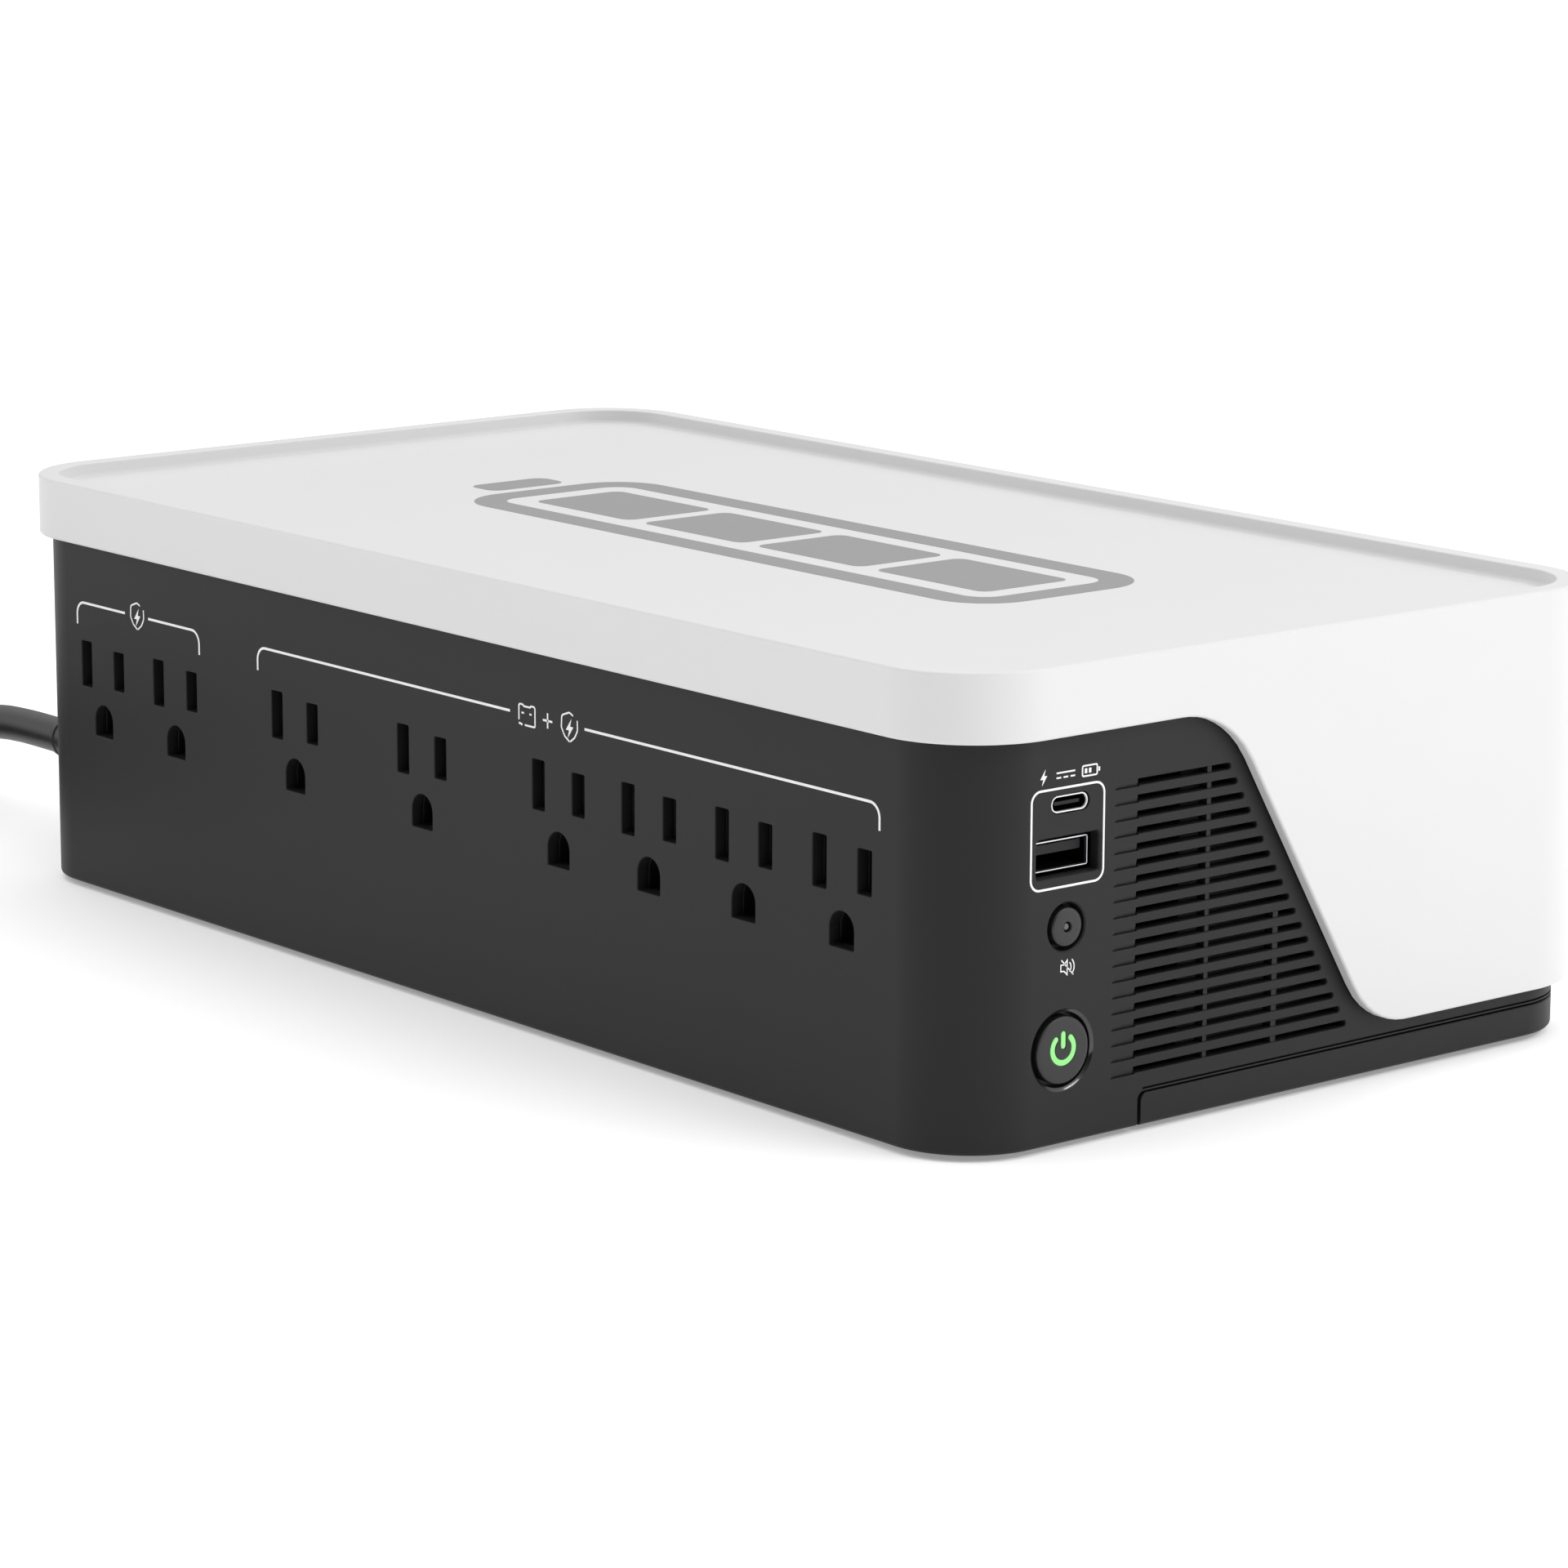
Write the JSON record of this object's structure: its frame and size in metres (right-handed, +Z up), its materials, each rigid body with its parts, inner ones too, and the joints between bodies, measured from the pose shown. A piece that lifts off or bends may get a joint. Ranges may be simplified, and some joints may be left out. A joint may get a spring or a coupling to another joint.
{
  "type": "uninterruptible power supply",
  "caption": "Low box-shaped battery backup: black base with mains outlets along one side, front USB sockets, buttons and vents, white tray-top cover, corded plug.",
  "frame": {"origin": "on the standing surface, below the middle of the cover's plan, without the cord", "axes": "+Z up; the front with buttons, USB sockets and vents faces -Y; the mains outlets face -X; the cord leaves the rear towards +Y"},
  "size_m": [0.2633, 0.4922, 0.0904],
  "materials": {
    "base_plastic": "fine-textured black ABS, satin",
    "cover_plastic": "smooth white ABS, satin",
    "button_plastic": "smooth black ABS",
    "green_light": "translucent light guide, lit green",
    "pale_light": "translucent light guide, unlit",
    "white_print": "white screen print",
    "grey_print": "light grey screen print",
    "foot_rubber": "soft black rubber",
    "cord_jacket": "black vinyl jacket with a slight sheen",
    "strap": "black hook-and-loop strap",
    "circuit_board": "green solder resist",
    "steel": "plated steel",
    "brass": "plated brass contact",
    "copper": "enamelled copper winding",
    "aluminium": "extruded aluminium",
    "battery_case": "grey battery case",
    "red_plastic": "red insulation",
    "foam": "closed-cell foam",
    "component": "black moulded component",
    "blue_coating": "blue epoxy coating"
  },
  "bodies": {
    "housing": {"base_shell": "base_plastic", "top_cover": "cover_plastic", "usb_a_shell": "steel", "usb_a_tongue": "component", "usb_c_shell": "steel", "usb_c_tongue": "component", "usb_board": "circuit_board", "front_board": "circuit_board", "power_switch": "component", "mute_switch": "component", "outlet_carrier": "component", "ground_rail": "brass", "neutral_rail": "brass", "surge_line_rail": "brass", "battery_line_rail": "brass", "transformer_core": "steel", "transformer_coil": "copper", "main_board": "circuit_board", "heat_sink_front": "aluminium", "heat_sink_rear": "aluminium", "relay_front": "blue_coating", "relay_rear": "blue_coating", "capacitor_front": "component", "capacitor_rear": "component", "surge_varistor_1": "blue_coating", "surge_varistor_2": "blue_coating", "surge_varistor_3": "blue_coating", "buzzer": "component", "circuit_breaker": "component", "battery": "battery_case", "battery_terminal_negative": "brass", "battery_terminal_positive": "brass", "battery_pad": "foam", "battery_lead_red": "red_plastic", "battery_lead_black": "cord_jacket", "cover_screw_front_left": "steel", "cover_screw_rear_left": "steel", "cover_screw_rear_right": "steel", "cover_screw_middle_right": "steel", "foot_front_left": "foot_rubber", "foot_rear_left": "foot_rubber", "foot_rear_right": "foot_rubber", "cord_strain_relief": "cord_jacket", "power_cord": "cord_jacket", "cord_coil": "cord_jacket", "cord_tie": "strap", "cord_tail": "cord_jacket", "plug_body": "cord_jacket", "plug_blade_neutral": "brass", "plug_blade_line": "brass", "plug_ground_pin": "brass"},
    "power_button": {"power_button": "button_plastic", "power_light_guide": "green_light"},
    "mute_button": {"mute_button": "button_plastic", "mute_light_guide": "pale_light"},
    "battery_door": {"battery_door": "base_plastic", "foot_front_right": "foot_rubber"},
    "breaker_reset": {"breaker_reset_button": "red_plastic"}
  },
  "joints": [
    {"name": "power_button_press", "type": "slide", "parent": "housing", "child": "power_button", "axis": [0, 1, 0], "range_m": [0, 0.0015], "stiffness_N_per_m": 600},
    {"name": "mute_button_press", "type": "slide", "parent": "housing", "child": "mute_button", "axis": [0, 1, 0], "range_m": [0, 0.001], "stiffness_N_per_m": 600},
    {"name": "battery_door_slide", "type": "slide", "parent": "housing", "child": "battery_door", "axis": [0, -1, 0], "range_m": [0, 0.17]},
    {"name": "breaker_reset_pop", "type": "slide", "parent": "housing", "child": "breaker_reset", "axis": [0, 1, 0], "range_m": [0, 0.003]}
  ]
}
